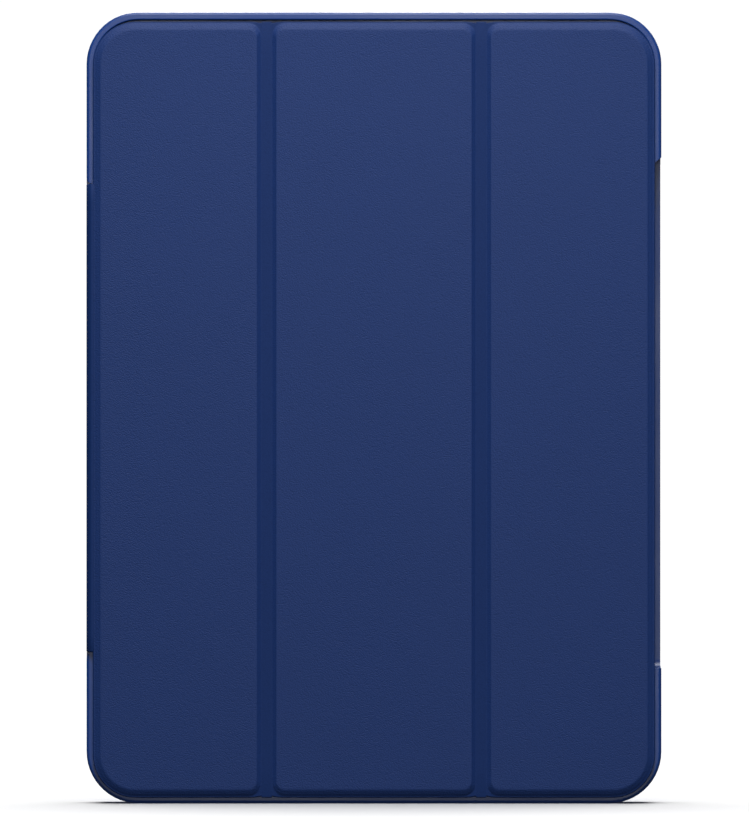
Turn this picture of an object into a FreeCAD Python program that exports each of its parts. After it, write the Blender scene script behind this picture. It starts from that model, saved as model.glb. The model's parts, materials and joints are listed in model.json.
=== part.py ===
import FreeCAD, Part
import math
import os

# A folding case for an 11 inch class tablet, closed and standing on its short edge.
# Units are millimetres. X runs across the case from the spine on the left to the free
# edge of the cover on the right, Y from the front of the cover to the back, Z up the
# long side. The origin is the middle of the footprint. "Depth" is counted from the
# front face of the cover towards the back.

# ---- the tablet that the case is made for
tablet_length = 247.6
tablet_width = 178.5
tablet_thickness = 6.1
tablet_corner = 13.8
tablet_clear = 0.25  # on every side
tablet_back_clear = 0.1

# ---- the moulded bumper frame and the back
wall = 2.45
lip_overlap = 1.5  # how far the front lip reaches over the glass
lip_thickness = 0.8
crest_round = 0.95  # on the outside of the rim's crest
crest_inner_round = 0.5
back_round = 2.5
plate_lap = 0.75  # how far the frame's rear flange reaches inside its wall
plate_thickness = 1.6
lining_thickness = 0.4

# ---- the cover: skin, board and lining in each panel
skin = 0.8
board = 1.0  # it raises each panel's middle above its hem
cover_lining = 0.6
cover_inset_side = 2.15
cover_inset_end = 2.5
cover_drop = 0.6  # the cover hangs this much low in the frame
cover_corner = 13.6
bevel_run = 2.2  # the slope at the cover's two long sides
end_bevel_run = 2.8  # and at its top and bottom
board_inset = 0.3
crest_gap = 0.3  # from the inside of the cover to the frame's crest
fold_spacing = 68.6  # between the middles of the two folds
fold_floor = 3.2
fold_wall_run = 1.35
fold_corner = 3.0
fold_pivot_proud = 0.2

# ---- the spine on the left side
spine_length = 149.9
spine_drop = 3.25  # middle of the spine below the middle of the case
spine_end_gap = 0.4
spine_board = 0.8
spine_lining = 0.5
spine_inner_gap = 0.35  # behind the spine's lining
rim_end_round = 2.0
rim_round_depth = 4.5  # the rim's two ends are square behind this
flap_width = 13.8

# ---- the cutaway for a stylus on the right side
stylus_length = 161.4
stylus_drop = 2.6
stylus_sill = 3.3
stylus_slant = 2.0
stylus_relief = 0.05
stylus_floor_round = 4.0

# ---- openings and buttons in the frame
camera_opening = 24.0
camera_from_edges = 20.0
camera_corner = 8.0
camera_ring_width = 1.0
port_length = 13.0
port_height = 5.6
speaker_height = 2.6
bottom_speaker_length = 24.0
bottom_speaker_from_middle = 38.0
top_speaker_length = 16.0
top_speaker_from_middle = 18.0
button_length = 10.0
button_height = 3.0
button_depth = 2.0
button_clear = 0.25
power_from_side = 29.0
volume_from_side = 28.0
volume_spacing = 14.0

# ---- the slim keyboard held inside the cover
keyboard_gap = 0.1  # from the cover's lining
glass_gap = 0.3  # from the spacers to the glass
keyboard_clear = 1.5  # inside the frame's lip
keyboard_from_fold = 1.5
keyboard_floor = 0.6
keyboard_wall = 1.2
case_height = 3.7  # of the lower case
deck = 0.7
cap_thickness = 1.3
cap_proud = 0.8
cap_gap = 2.0  # between one cap and the next
cap_clear = 0.25
spacer_proud = 0.3
spacer_width = 1.5
support_level = 1.8
support_thickness = 0.4
dome_sheet = 0.3
dome_height = 0.3
dome_radius = 2.5
post = 2.4
electronics_margin = 12.0
hand_margin = 8.0
end_margin = 3.4
function_row = 11.0
inner_gap = 0.1
part_gap = 0.7  # from the case's walls to what lies in the margin
battery_length = 88.0
battery_width = 8.6
battery_thickness = 2.8
circuit_length = 64.0
circuit_thickness = 0.8
circuit_level = 0.9
chip_height = 0.9
chip_width = 4.0
port_shell_length = 8.9
port_shell_depth = 7.2
port_shell_wall = 0.3
port_from_end = 34.0
switch_length = 4.0
switch_height = 1.4
switch_level = 1.9
switch_travel = 3.0
switch_proud = 0.4
switch_from_end = 44.0
led_side = 1.6
led_from_end = 58.0
magnet_length = 12.0
magnet_width = 5.0
magnet_thickness = 1.0
magnet_from_end = 14.0

# ---- key widths along each row, in key units
FUNCTION_KEYS = [1] * 14
NUMBER_KEYS = [1] * 12 + [2]
UPPER_KEYS = [1.5] + [1] * 11 + [1.5]
HOME_KEYS = [1.75] + [1] * 10 + [2.25]
LOWER_KEYS = [2.25] + [1] * 9 + [2.75]
BOTTOM_KEYS = [1, 1, 1, 1.25, 5.5, 1.25, 1, 1, 1]
SPACE_KEY = 4  # its place in the bottom row

# ---- depths, from the front of the cover to the back of the plate
hem_depth = board
board_depth = skin
cover_lining_depth = skin + board
cover_depth = cover_lining_depth + cover_lining
crest_depth = cover_depth + crest_gap
keyboard_depth = cover_depth + keyboard_gap
deck_level = case_height
cap_top = case_height + deck + cap_proud
keyboard_thickness = cap_top + spacer_proud
glass_depth = keyboard_depth + keyboard_thickness + glass_gap
lip_depth = glass_depth - lip_thickness
lining_depth = glass_depth + tablet_thickness + tablet_back_clear
plate_depth = lining_depth + lining_thickness
case_depth = plate_depth + plate_thickness
tablet_middle = glass_depth + tablet_thickness / 2

# ---- outlines across the case
edge = wall + tablet_clear  # from the outside to the tablet
case_length = tablet_length + 2 * edge
half_width = tablet_width / 2 + edge
case_corner = tablet_corner + edge
lip_inset = edge + lip_overlap
plate_inset = wall + plate_lap
spine_inset = skin + spine_board + spine_lining + spine_inner_gap
crest_fillet = min(crest_round, 0.4 * wall)
crest_inner_fillet = min(crest_inner_round, 0.4 * wall)
cover_low = cover_inset_end - cover_drop
cover_high = case_length - cover_inset_end - cover_drop
cover_left = cover_inset_side - half_width
cover_right = half_width - cover_inset_side
fold_x = fold_spacing / 2
fold_near = fold_x - fold_floor / 2
fold_far = fold_x + fold_floor / 2
spine_middle = case_length / 2 - spine_drop
stylus_middle = case_length / 2 - stylus_drop

# ---- the keyboard's own outline and its rows
keyboard_left = keyboard_from_fold - fold_near
keyboard_right = half_width - lip_inset - keyboard_clear
keyboard_low = lip_inset + keyboard_clear
keyboard_high = case_length - keyboard_low
keyboard_corner = case_corner - lip_inset - keyboard_clear
rows_left = keyboard_left + electronics_margin
letter_row = (keyboard_right - hand_margin - rows_left - function_row) / 5
key_unit = (keyboard_high - keyboard_low - 2 * end_margin) / 14


def y_at(depth):
    """The Y coordinate of a depth below the front of the cover."""
    return depth - case_depth / 2


def point(x, depth, z):
    return FreeCAD.Vector(x, y_at(depth), z)


def box(x0, x1, depth0, depth1, z0, z1):
    """A block between two corners."""
    size = (x1 - x0, depth1 - depth0, z1 - z0)
    return Part.makeBox(*size, point(x0, depth0, z0))


def outline(x0, x1, z0, z1, depth, left_radius, right_radius):
    """A closed wire, flat at one depth, with round corners on the left and on the right."""
    low_right = (x1, z0, right_radius, 1, -1)
    high_right = (x1, z1, right_radius, 1, 1)
    high_left = (x0, z1, left_radius, -1, 1)
    low_left = (x0, z0, left_radius, -1, -1)
    ends = []
    for x, z, radius, side, up in (low_right, high_right, high_left, low_left):
        beside = (x - side * radius, z)
        along = (x, z - up * radius)
        slack = radius * (1 - math.sqrt(0.5))
        middle = (x - side * slack, z - up * slack)
        if side * up < 0:
            ends.append((beside, middle, along))
        else:
            ends.append((along, middle, beside))
    edges = []
    for corner, following in zip(ends, ends[1:] + ends[:1]):
        first, middle, last = [point(x, depth, z) for x, z in corner]
        start = point(following[0][0], depth, following[0][1])
        edges.append(Part.Arc(first, middle, last).toShape())
        edges.append(Part.LineSegment(last, start).toShape())
    return Part.Wire(edges)


def slab(x0, x1, z0, z1, depth0, depth1, left_radius, right_radius=None):
    """A flat plate with round corners between two depths."""
    if right_radius is None:
        right_radius = left_radius
    wire = outline(x0, x1, z0, z1, depth0, left_radius, right_radius)
    return Part.Face(wire).extrude(FreeCAD.Vector(0, depth1 - depth0, 0))


def case_slab(inset, depth0, depth1):
    """A plate that follows the outline of the case, at an even distance inside it."""
    side = half_width - inset
    return slab(-side, side, inset, case_length - inset, depth0, depth1, case_corner - inset)


def edges_at(shape, depth):
    """The edges that lie flat at one depth."""
    found = []
    for edge_here in shape.Edges:
        limits = edge_here.BoundBox
        if abs(limits.YMin - y_at(depth)) < 0.001 and abs(limits.YMax - y_at(depth)) < 0.001:
            found.append(edge_here)
    return found


def end_slot(x, length, height, z0, z1, depth=None):
    """A slot with round ends through the top or bottom wall, lying along X."""
    middle = tablet_middle if depth is None else depth
    radius = height / 2
    reach = length / 2 - radius
    block = box(x - reach, x + reach, middle - radius, middle + radius, z0, z1)
    ends = [
        Part.makeCylinder(radius, z1 - z0, point(x + side * reach, middle, z0))
        for side in (-1, 1)
    ]
    return block.fuse(ends).removeSplitter()


def spine_span(gap):
    """The low and high ends of the spine, shortened by a gap at each end."""
    half = spine_length / 2 - gap
    return spine_middle - half, spine_middle + half


def button_places():
    """Each button's name and place along the top edge."""
    return {
        "power_button": half_width - power_from_side,
        "volume_up_button": volume_from_side - half_width,
        "volume_down_button": volume_from_side + volume_spacing - half_width,
    }


# ---------------------------------------------------------------- the shell


def spine_gap_tool():
    """The gap in the left wall for the spine, with the rim's two ends rounded."""
    low, high = spine_span(0)
    outside = -half_width - 3
    inside = spine_inset - half_width
    arc_x = rim_end_round - half_width
    arc_mid = rim_end_round * (1 - math.sqrt(0.5))
    corners = []
    for end, away in ((low, -1), (high, 1)):
        corners.append(point(-half_width, 0, end + away * rim_end_round))
        corners.append(point(arc_mid - half_width, 0, end + away * arc_mid))
        corners.append(point(arc_x, 0, end))
    low_out, low_mid, low_in, high_out, high_mid, high_in = corners
    far_low = point(outside, 0, low - rim_end_round)
    far_high = point(outside, 0, high + rim_end_round)
    near_low = point(inside, 0, low)
    near_high = point(inside, 0, high)
    edges = [
        Part.LineSegment(far_low, low_out).toShape(),
        Part.Arc(low_out, low_mid, low_in).toShape(),
        Part.LineSegment(low_in, near_low).toShape(),
        Part.LineSegment(near_low, near_high).toShape(),
        Part.LineSegment(near_high, high_in).toShape(),
        Part.Arc(high_in, high_mid, high_out).toShape(),
        Part.LineSegment(high_out, far_high).toShape(),
        Part.LineSegment(far_high, far_low).toShape(),
    ]
    round_part = Part.Face(Part.Wire(edges)).extrude(FreeCAD.Vector(0, rim_round_depth, 0))
    square_part = box(outside, inside, 0, case_depth + 1, low, high)
    return round_part.fuse(square_part)


def stylus_tool():
    """The cutaway in the right wall: slanted at its top end, rounded at its foot."""
    low = stylus_middle - stylus_length / 2
    high = stylus_middle + stylus_length / 2
    inside = half_width - lip_inset - 0.1
    outside = half_width + 3
    slope = stylus_slant / wall
    top_out = high + slope * (outside - half_width + wall)
    path = [
        point(inside, 0, low),
        point(outside, 0, low),
        point(outside, 0, top_out),
        point(half_width - wall, 0, high),
        point(inside, 0, high),
    ]
    plan = Part.Face(Part.makePolygon(path + path[:1]))
    plan = plan.extrude(FreeCAD.Vector(0, case_depth, 0))
    sill = case_depth - stylus_sill
    side = box(inside - 1, outside + 1, 0, sill, low - 1, top_out + 1)
    foot = [e for e in edges_at(side, sill) if e.BoundBox.ZLength < 0.001]
    foot = [e for e in foot if e.BoundBox.ZMax < stylus_middle]
    side = side.makeFillet(stylus_floor_round, foot)
    return plan.common(side)


def flap_recess():
    """The shallow seat on the back for the spine's bonded flap."""
    low, high = spine_span(0)
    inner = cover_left + flap_width
    return box(-half_width - 1, inner, case_depth - skin, case_depth + 1, low, high)


def frame_openings():
    """Every hole through the top and bottom walls."""
    top0 = case_length - edge - 0.1
    top1 = case_length + 1
    holes = [end_slot(0, port_length, port_height, -1, edge + 0.1)]
    for side in (-1, 1):
        x = side * bottom_speaker_from_middle
        holes.append(end_slot(x, bottom_speaker_length, speaker_height, -1, edge + 0.1))
        x = side * top_speaker_from_middle
        holes.append(end_slot(x, top_speaker_length, speaker_height, top0, top1))
    length = button_length + 2 * button_clear
    height = button_height + 2 * button_clear
    for x in button_places().values():
        holes.append(end_slot(x, length, height, top0, top1))
    return holes


def is_inner_rim(edge_here):
    """True for an edge on the inside of the rim's crest."""
    limits = edge_here.BoundBox
    slack = 0.001
    across = max(abs(limits.XMin), abs(limits.XMax)) <= half_width - wall + slack
    return across and limits.ZMin >= wall - slack and limits.ZMax <= case_length - wall + slack


def bumper_frame():
    """The soft ring round the tablet, with a bead in front and a lip over the glass."""
    ring = case_slab(0, crest_depth, case_depth)
    ring = ring.makeFillet(back_round, edges_at(ring, case_depth))
    ring = ring.makeFillet(crest_fillet, edges_at(ring, crest_depth))
    ring = ring.cut(case_slab(wall, crest_depth - 1, lip_depth))
    inner_rim = [e for e in edges_at(ring, crest_depth) if is_inner_rim(e)]
    ring = ring.makeFillet(crest_inner_fillet, inner_rim)
    ring = ring.cut(case_slab(lip_inset, lip_depth - 1, glass_depth + 1))
    ring = ring.cut(case_slab(wall, glass_depth, plate_depth))
    ring = ring.cut(case_slab(plate_inset, plate_depth - 1, case_depth + 1))
    low, high = spine_span(0)
    lip_left = lip_inset + 0.1 - half_width
    lip_gap = box(-half_width, lip_left, lip_depth - 0.1, glass_depth + 0.1, low, high)
    sill = case_depth - stylus_sill
    relief_low = stylus_middle - stylus_length / 2
    relief_high = stylus_middle + stylus_length / 2
    relief_x = half_width - stylus_relief
    relief = box(relief_x, half_width + 1, sill - 1, case_depth, relief_low, relief_high)
    tools = [spine_gap_tool(), lip_gap, stylus_tool(), relief, flap_recess()]
    return ring.cut(tools + frame_openings()).removeSplitter()


def camera_slab(grow, depth0, depth1):
    """A plate with the outline of the camera opening, grown by a margin."""
    half = camera_opening / 2 + grow
    x = half_width - camera_from_edges
    z = case_length - camera_from_edges
    return slab(x - half, x + half, z - half, z + half, depth0, depth1, camera_corner + grow)


def back_plate():
    plate = case_slab(plate_inset, plate_depth, case_depth)
    hole = camera_slab(camera_ring_width, plate_depth - 1, case_depth + 1)
    return plate.cut([hole, flap_recess()])


def camera_ring():
    ring = camera_slab(camera_ring_width, plate_depth, case_depth)
    return ring.cut(camera_slab(0, plate_depth - 1, case_depth + 1))


def back_lining():
    sheet = case_slab(edge, lining_depth, plate_depth)
    low, high = spine_span(0)
    side = box(-half_width, spine_inset - half_width, 0, case_depth, low, high)
    return sheet.cut([camera_slab(camera_ring_width, 0, case_depth), side])


def button(x):
    """One press pad, flush with the top edge."""
    z0 = case_length - button_depth
    return end_slot(x, button_length, button_height, z0, case_length)


def spine_flap():
    """The strip of skin bonded into the back."""
    low, high = spine_span(spine_end_gap)
    inner = cover_left + flap_width
    return box(cover_left, inner, case_depth - skin, case_depth, low, high)


# ---------------------------------------------------------------- the spine


def quarter_web(centre_depth, towards_back):
    """A quarter-round strip of skin that joins the spine to its neighbour."""
    low, high = spine_span(spine_end_gap)
    outer = cover_inset_side
    inner = outer - skin
    down = 1 if towards_back else -1
    share = math.sqrt(0.5)

    def at(radius, across, along):
        x = cover_left - radius * across
        return point(x, centre_depth + down * radius * along, low)

    edges = [
        Part.Arc(at(outer, 1, 0), at(outer, share, share), at(outer, 0, 1)).toShape(),
        Part.LineSegment(at(outer, 0, 1), at(inner, 0, 1)).toShape(),
        Part.Arc(at(inner, 0, 1), at(inner, share, share), at(inner, 1, 0)).toShape(),
        Part.LineSegment(at(inner, 1, 0), at(outer, 1, 0)).toShape(),
    ]
    return Part.Face(Part.Wire(edges)).extrude(FreeCAD.Vector(0, 0, high - low))


def spine_layer(offset, thickness):
    """One layer of the flat part of the spine, counted from its outside."""
    low, high = spine_span(spine_end_gap)
    x0 = offset - half_width
    front = hem_depth + cover_inset_side
    back = case_depth - cover_inset_side
    return box(x0, x0 + thickness, front, back, low, high)


# ---------------------------------------------------------------- the cover


def panel_places():
    """Each panel's left and right edge, and whether each edge is a fold."""
    return {
        1: (cover_left, -fold_far, False, True),
        2: (-fold_near, fold_near, True, True),
        3: (fold_far, cover_right, True, False),
    }


def plateau(number, grow, depth0, depth1):
    """The raised middle of a panel as a plate, grown by a margin."""
    x0, x1, left_fold, right_fold = panel_places()[number]
    left = fold_wall_run if left_fold else bevel_run
    right = fold_wall_run if right_fold else bevel_run
    outer = cover_corner - bevel_run
    radii = [fold_corner if fold else outer for fold in (left_fold, right_fold)]
    return (
        x0 + left - grow, x1 - right + grow,
        cover_low + end_bevel_run - grow, cover_high - end_bevel_run + grow,
        depth0, depth1, radii[0] + grow, radii[1] + grow,
    )


def panel_board(number, magnets=()):
    solid = slab(*plateau(number, -board_inset, board_depth, cover_lining_depth))
    return solid.cut(list(magnets)) if magnets else solid


def hem(number, depth0, depth1):
    """The whole outline of a panel as a plate: square at a fold, round at an outer corner."""
    x0, x1, left_fold, right_fold = panel_places()[number]
    radii = [None if fold else cover_corner for fold in (left_fold, right_fold)]
    full = box(x0, x1, depth0, depth1, cover_low, cover_high)
    if radii == [None, None]:
        return full
    reach = cover_corner
    x_start = x0 if radii[0] else x0 - 2 * reach
    x_stop = x1 if radii[1] else x1 + 2 * reach
    return full.common(slab(x_start, x_stop, cover_low, cover_high, depth0, depth1, reach))


def panel_skin(number):
    """The outer skin of a panel, formed over its board, with sloping sides."""
    x0, x1, left_fold, right_fold = panel_places()[number]
    foot_radius = [
        fold_corner + fold_wall_run if fold else cover_corner
        for fold in (left_fold, right_fold)
    ]
    foot = outline(x0, x1, cover_low, cover_high, hem_depth, *foot_radius)
    left, right, low, high, top, _, *radii = plateau(number, 0, 0, 0)
    crown = outline(left, right, low, high, top, *radii)
    raised_part = Part.makeLoft([foot, crown], True, True)
    base = hem(number, hem_depth, cover_lining_depth)
    hollow = slab(*plateau(number, -board_inset, board_depth, cover_lining_depth))
    return raised_part.fuse(base).cut(hollow).removeSplitter()


def fold_web(side):
    """The flexible strip at a fold: the floor of the groove, skin and lining together."""
    x = side * fold_x
    half = fold_floor / 2
    return box(x - half, x + half, hem_depth, cover_depth, cover_low, cover_high)


def magnet_rows(x, depth0):
    """Flat magnets up one side, near the two ends and between them."""
    low = keyboard_low + magnet_from_end
    high = keyboard_high - magnet_from_end - magnet_length
    return [
        box(x, x + magnet_width, depth0, depth0 + magnet_thickness, z, z + magnet_length)
        for z in (low, (low + high) / 2, high)
    ]


def near_magnet_x():
    """The magnets over the electronics margin."""
    return keyboard_left + keyboard_wall + inner_gap


def far_magnet_x():
    """The magnets under the hand margin."""
    return keyboard_right - keyboard_wall - inner_gap - magnet_width


# ---------------------------------------------------------------- the keyboard


def keyboard_slab(inset, level0, level1):
    """A plate with the keyboard's outline, between two levels above its underside."""
    radius = keyboard_corner - inset
    limits = (keyboard_left + inset, keyboard_right - inset)
    ends = (keyboard_low + inset, keyboard_high - inset)
    depths = (keyboard_depth + level0, keyboard_depth + level1)
    return slab(*limits, *ends, *depths, radius)


def keyboard_box(x0, x1, level0, level1, z0, z1):
    return box(x0, x1, keyboard_depth + level0, keyboard_depth + level1, z0, z1)


def port_span():
    middle = keyboard_high - port_from_end
    return middle - port_shell_length / 2, middle + port_shell_length / 2


def switch_span(extra):
    low = keyboard_high - switch_from_end - switch_length
    return low - extra, low + switch_length + extra


def post_places():
    """Where the lower case holds up the support plate."""
    right = keyboard_right - keyboard_wall - post - magnet_width - 2 * inner_gap - 1
    left = rows_left + 2
    low = keyboard_low + 30
    high = keyboard_high - 30 - post
    return [
        (left + (right - left) * i / 2, low + (high - low) * j / 3)
        for i in range(3)
        for j in range(4)
    ]


def keyboard_lower_case():
    """The tray under the keys, with a port opening, a switch slot and support posts."""
    tray = keyboard_slab(0, 0, case_height)
    tray = tray.cut(keyboard_slab(keyboard_wall, keyboard_floor, case_height + 1))
    posts = [
        keyboard_box(x, x + post, keyboard_floor, support_level, z, z + post)
        for x, z in post_places()
    ]
    tray = tray.fuse(posts)
    x0 = keyboard_left - 1
    x1 = keyboard_left + keyboard_wall + 0.1
    port = keyboard_box(x0, x1, keyboard_floor, case_height + 1, *port_span())
    low, high = switch_span(button_clear)
    level0 = switch_level - button_clear
    level1 = switch_level + switch_height + button_clear
    slot = keyboard_box(x0, x1, level0, level1, low - switch_travel, high)
    return tray.cut([port, slot])


def port_shell():
    """A small metal socket that opens towards the spine."""
    low, high = port_span()
    x1 = keyboard_left + port_shell_depth
    shell = keyboard_box(keyboard_left, x1, keyboard_floor, case_height, low, high)
    t = port_shell_wall
    hollow = keyboard_box(
        keyboard_left - 1, x1 - 1, keyboard_floor + t, case_height - t, low + t, high - t
    )
    middle = keyboard_floor + (case_height - keyboard_floor) / 2
    tongue = keyboard_box(
        keyboard_left + 1, x1 - 1, middle - 0.35, middle + 0.35, low + 1.3, high - 1.3
    )
    return shell.cut(hollow).fuse(tongue).removeSplitter()


def circuit_board():
    """The controller board in the margin, notched round the socket."""
    low, high = port_span()
    z1 = high + 2
    z0 = z1 - circuit_length
    x0 = keyboard_left + keyboard_wall + part_gap
    x1 = rows_left - part_gap
    level1 = circuit_level + circuit_thickness
    sheet = keyboard_box(x0, x1, circuit_level, level1, z0, z1)
    notch_x = keyboard_left + port_shell_depth + inner_gap
    notch = keyboard_box(
        x0 - 1, notch_x, 0, case_height, low - inner_gap, high + inner_gap
    )
    chip_x = x1 - chip_width - 1
    chips = [
        keyboard_box(chip_x, x1 - 1, level1, level1 + chip_height, z0 + z, z0 + z + length)
        for z, length in ((5, 7), (18, 4), (44, 2.5))
    ]
    magnets = magnet_rows(near_magnet_x(), keyboard_depth + keyboard_floor)
    limits = [magnet.BoundBox for magnet in magnets]
    gap = 2 * inner_gap
    around = [
        box(b.XMin - gap, b.XMax + gap, 0, case_depth, b.ZMin - gap, b.ZMax + gap)
        for b in limits
    ]
    return sheet.cut([notch] + around).fuse(chips)


def battery():
    """A flat cell in the margin, below the controller board."""
    lowest_magnet = keyboard_low + magnet_from_end + magnet_length
    z0 = lowest_magnet + 3
    x0 = keyboard_left + keyboard_wall + part_gap
    level0 = keyboard_floor + inner_gap
    middle_magnet = (keyboard_low + keyboard_high - magnet_length) / 2
    z1 = min(z0 + battery_length, middle_magnet - 1)
    return keyboard_box(x0, x0 + battery_width, level0, level0 + battery_thickness, z0, z1)


def support_plate():
    x1 = keyboard_right - keyboard_wall - 0.3
    sheet = keyboard_slab(
        keyboard_wall + 0.3, support_level, support_level + support_thickness
    )
    keep = keyboard_box(rows_left, x1, 0, case_height, keyboard_low, keyboard_high)
    return sheet.common(keep)


def key_rows():
    """Each row's name, its left edge, its pitch and its key widths."""
    rows = {"function_row_keys": (rows_left, function_row, FUNCTION_KEYS)}
    names = ["number_row_keys", "upper_letter_keys", "home_row_keys", "lower_letter_keys"]
    lists = [NUMBER_KEYS, UPPER_KEYS, HOME_KEYS, LOWER_KEYS, BOTTOM_KEYS]
    for i, (name, widths) in enumerate(zip(names + ["bottom_row_keys"], lists)):
        rows[name] = (rows_left + function_row + i * letter_row, letter_row, widths)
    return rows


def key_boxes(name, grow, level0, level1):
    """One block for each key of a row. The row starts at the top end of the keyboard."""
    x0, pitch, widths = key_rows()[name]
    blocks = []
    z = keyboard_high - end_margin
    for width in widths:
        high = z - cap_gap / 2 + grow
        z -= width * key_unit
        low = z + cap_gap / 2 - grow
        left = x0 + cap_gap / 2 - grow
        right = x0 + pitch - cap_gap / 2 + grow
        blocks.append(keyboard_box(left, right, level0, level1, low, high))
    return blocks


def caps(name):
    return key_boxes(name, 0, cap_top - cap_thickness, cap_top)


def dome_sheet_part():
    """The springy sheet under the keys, with one low dome for each key."""
    level1 = support_level + support_thickness + dome_sheet
    sheet = keyboard_slab(keyboard_wall + 0.5, level1 - dome_sheet, level1)
    x1 = keyboard_right - keyboard_wall - 0.5
    sheet = sheet.common(
        keyboard_box(rows_left + 0.2, x1, 0, case_height, keyboard_low, keyboard_high)
    )
    domes = []
    for name in key_rows():
        for cap in caps(name):
            middle = cap.BoundBox.Center
            start = FreeCAD.Vector(middle.x, y_at(keyboard_depth + level1), middle.z)
            along = FreeCAD.Vector(0, 1, 0)
            domes.append(Part.makeCylinder(dome_radius, dome_height, start, along))
    return sheet.fuse(domes)


def led_box(level0, level1, grow):
    z = keyboard_high - led_from_end
    x = keyboard_left + electronics_margin / 2
    half = led_side / 2 + grow
    return keyboard_box(x - half, x + half, level0, level1, z - half, z + half)


def keyboard_deck():
    """The top plate, with a window round each key."""
    plate = keyboard_slab(0, deck_level, deck_level + deck)
    windows = [
        block
        for name in key_rows()
        for block in key_boxes(name, cap_clear, deck_level - 1, deck_level + deck + 1)
    ]
    windows.append(led_box(deck_level - 1, deck_level + deck + 1, 0))
    return plate.cut(windows)


def status_light():
    level0 = circuit_level + circuit_thickness
    return led_box(level0, deck_level + deck, 0)


def power_switch():
    """The slider in the edge of the keyboard that faces the spine."""
    low, high = switch_span(0)
    x1 = keyboard_left + keyboard_wall + 0.3
    level1 = switch_level + switch_height
    return keyboard_box(keyboard_left - switch_proud, x1, switch_level, level1, low, high)


def glass_spacers():
    """Soft strips that keep the keys off the glass."""
    level0 = deck_level + deck
    strips = []
    low = keyboard_low + 25
    high = keyboard_high - 25
    third = (high - low) / 3
    for x in (keyboard_left + 2, keyboard_right - 2 - spacer_width):
        for i in (0, 2):
            z = low + i * third
            strips.append(
                keyboard_box(x, x + spacer_width, level0, keyboard_thickness, z, z + third)
            )
    return strips


# ---------------------------------------------------------------- writing


def group(solids):
    return Part.makeCompound(list(solids))


def save(name, shape):
    if not shape.isValid():
        raise ValueError(name + " is not a valid shape")
    shape.exportStep("parts/" + name + ".step")
    print(f"{name:22s} {len(shape.Solids):3d} solids {shape.Volume:10.1f} mm3")


def save_shell():
    save("bumper_frame", bumper_frame())
    save("back_plate", back_plate())
    save("camera_ring", camera_ring())
    save("back_lining", back_lining())
    save("spine_flap", spine_flap())
    for name, x in button_places().items():
        save(name, button(x))


def save_spine():
    save("spine_skin", spine_layer(0, skin))
    save("spine_board", spine_layer(skin, spine_board))
    save("spine_lining", spine_layer(skin + spine_board, spine_lining))
    save("back_web", quarter_web(case_depth - cover_inset_side, True))
    save("front_web", quarter_web(hem_depth + cover_inset_side, False))


def save_cover():
    magnets = {
        1: [],
        2: magnet_rows(near_magnet_x(), board_depth),
        3: magnet_rows(far_magnet_x(), board_depth),
    }
    for number, held in magnets.items():
        save(f"panel_{number}_skin", panel_skin(number))
        save(f"panel_{number}_board", panel_board(number, held))
        save(f"panel_{number}_lining", hem(number, cover_lining_depth, cover_depth))
        if held:
            save(f"panel_{number}_magnets", group(held))
    save("fold_web_1", fold_web(-1))
    save("fold_web_2", fold_web(1))


def save_keyboard():
    save("keyboard_lower_case", keyboard_lower_case())
    save("keyboard_deck", keyboard_deck())
    save("support_plate", support_plate())
    save("dome_sheet", dome_sheet_part())
    save("battery", battery())
    save("circuit_board", circuit_board())
    save("charging_socket", port_shell())
    save("power_switch", power_switch())
    save("status_light", status_light())
    save("glass_spacers", group(glass_spacers()))
    floor = keyboard_depth + keyboard_floor
    magnets = magnet_rows(near_magnet_x(), floor) + magnet_rows(far_magnet_x(), floor)
    save("keyboard_magnets", group(magnets))
    for name in key_rows():
        keys = caps(name)
        if name == "bottom_row_keys":
            save("space_bar", keys.pop(SPACE_KEY))
        save(name, group(keys))


def print_axes():
    """The hinge axes and the openings' edges, for reference."""
    share = math.sqrt(0.5) * cover_inset_side
    hinge_x = cover_left - share
    front = y_at(hem_depth + cover_inset_side - share)
    back = y_at(case_depth - cover_inset_side + share)
    print(f"cover hinge x {hinge_x:.4f} y {front:.4f}")
    print(f"spine hinge x {hinge_x:.4f} y {back:.4f}")
    print(f"fold hinges x {fold_x:.4f} y {y_at(-fold_pivot_proud):.4f}")
    print(f"case {2 * half_width:.3f} x {case_depth:.3f} x {case_length:.3f}")
    print(f"glass y {y_at(glass_depth):.4f} lining y {y_at(lining_depth):.4f}")
    print(f"keyboard x {keyboard_left:.3f} to {keyboard_right:.3f}")
    print(f"keyboard z {keyboard_low:.3f} to {keyboard_high:.3f}")


os.makedirs("parts", exist_ok=True)
save_shell()
save_spine()
save_cover()
save_keyboard()
print_axes()
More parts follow.
